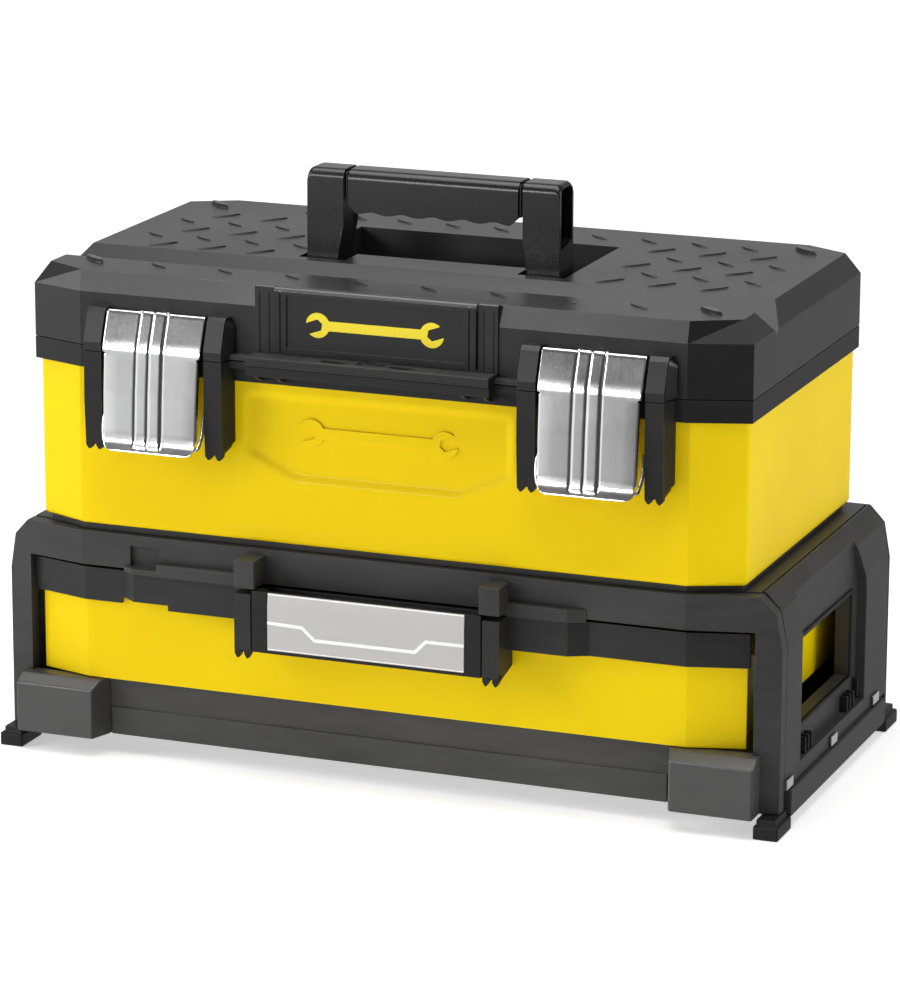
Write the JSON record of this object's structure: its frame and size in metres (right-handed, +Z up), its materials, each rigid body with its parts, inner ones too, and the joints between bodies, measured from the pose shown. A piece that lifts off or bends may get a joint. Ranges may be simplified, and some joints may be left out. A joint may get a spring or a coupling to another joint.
{
  "type": "tool box with drawer",
  "caption": "Two-storey tool box: sheet-steel tub with draw-latched moulded lid and fold-down handle, over a plastic frame with a full-width drawer on telescopic slides.",
  "frame": {"origin": "middle of the footprint at floor level", "axes": "+X to the box's right as seen from the front, -Y towards the front with the latches and drawer, +Z up"},
  "size_m": [0.545, 0.3004, 0.3896],
  "materials": {
    "painted_yellow_steel": "smooth gloss paint on pressed sheet steel",
    "black_polypropylene": "fine moulded grain, satin",
    "grey_polypropylene": "fine moulded grain, matt",
    "zinc_plated_steel": "bright zinc plate",
    "silver_plastic": "silver paint on plastic"
  },
  "bodies": {
    "base": {"tub_shell": "painted_yellow_steel", "tub_rim": "black_polypropylene", "hinge_pin_left": "zinc_plated_steel", "hinge_pin_right": "zinc_plated_steel", "lower_deck": "black_polypropylene", "front_bezel": "black_polypropylene", "bezel_ledge_left": "black_polypropylene", "bezel_ledge_right": "black_polypropylene", "side_frame_left": "black_polypropylene", "side_frame_right": "black_polypropylene", "back_panel": "black_polypropylene", "front_strip": "black_polypropylene", "corner_block_left": "grey_polypropylene", "corner_block_right": "grey_polypropylene", "base_plate": "zinc_plated_steel", "side_rail_left": "black_polypropylene", "side_rail_right": "black_polypropylene", "foot_front_left": "grey_polypropylene", "foot_front_right": "grey_polypropylene", "foot_rear_left": "grey_polypropylene", "foot_rear_right": "grey_polypropylene", "slide_outer_left": "zinc_plated_steel", "slide_outer_right": "zinc_plated_steel"},
    "lid": {"lid": "grey_polypropylene", "nameplate": "black_polypropylene", "handle_pin_left": "zinc_plated_steel", "handle_pin_right": "zinc_plated_steel"},
    "handle": {"handle_frame": "black_polypropylene", "handle_grip": "black_polypropylene"},
    "bail_left": {"latch_bail_left": "zinc_plated_steel"},
    "bail_right": {"latch_bail_right": "zinc_plated_steel"},
    "plate_left": {"latch_plate_left": "zinc_plated_steel"},
    "plate_right": {"latch_plate_right": "zinc_plated_steel"},
    "drawer": {"drawer_pan": "painted_yellow_steel", "drawer_front": "painted_yellow_steel", "drawer_trim_left": "black_polypropylene", "drawer_trim_middle": "black_polypropylene", "drawer_trim_right": "black_polypropylene", "slide_inner_left": "zinc_plated_steel", "slide_inner_right": "zinc_plated_steel", "flap_pin_left": "zinc_plated_steel", "flap_pin_right": "zinc_plated_steel"},
    "slide_middles": {"slide_middle_left": "zinc_plated_steel", "slide_middle_right": "zinc_plated_steel"},
    "flap": {"drawer_handle": "black_polypropylene", "handle_insert": "silver_plastic"}
  },
  "joints": [
    {"name": "lid_hinge", "type": "hinge", "parent": "base", "child": "lid", "pos_m": [0, 0.13955, 0.281], "axis": [-1, 0, 0], "range_deg": [0, 100]},
    {"name": "handle_fold", "type": "hinge", "parent": "lid", "child": "handle", "pos_m": [0, -0.01525, 0.316], "axis": [-1, 0, 0], "range_deg": [0, 90]},
    {"name": "latch_bail_left_swing", "type": "hinge", "parent": "base", "child": "bail_left", "pos_m": [-0.1495, -0.13625, 0.246], "axis": [-1, 0, 0], "range_deg": [0, 60]},
    {"name": "latch_plate_left_tilt", "type": "hinge", "parent": "bail_left", "child": "plate_left", "pos_m": [-0.1495, -0.14405, 0.2226], "axis": [-1, 0, 0], "range_deg": [-96, 0]},
    {"name": "latch_bail_right_swing", "type": "hinge", "parent": "base", "child": "bail_right", "pos_m": [0.1495, -0.13625, 0.246], "axis": [-1, 0, 0], "range_deg": [0, 60]},
    {"name": "latch_plate_right_tilt", "type": "hinge", "parent": "bail_right", "child": "plate_right", "pos_m": [0.1495, -0.14405, 0.2226], "axis": [-1, 0, 0], "range_deg": [-96, 0]},
    {"name": "drawer_slide", "type": "slide", "parent": "base", "child": "drawer", "axis": [0, -1, 0], "range_m": [0, 0.19]},
    {"name": "slide_middle_travel", "type": "slide", "parent": "base", "child": "slide_middles", "axis": [0, -1, 0], "range_m": [0, 0.095]},
    {"name": "drawer_flap_pull", "type": "hinge", "parent": "drawer", "child": "flap", "pos_m": [0, -0.13625, 0.099], "axis": [1, 0, 0], "range_deg": [0, 60]}
  ],
  "couplings": [
    {"joint": "latch_plate_left_tilt", "follows": "latch_bail_left_swing", "ratio": -1.6},
    {"joint": "latch_plate_right_tilt", "follows": "latch_bail_right_swing", "ratio": -1.6},
    {"joint": "slide_middle_travel", "follows": "drawer_slide", "ratio": 0.5}
  ]
}
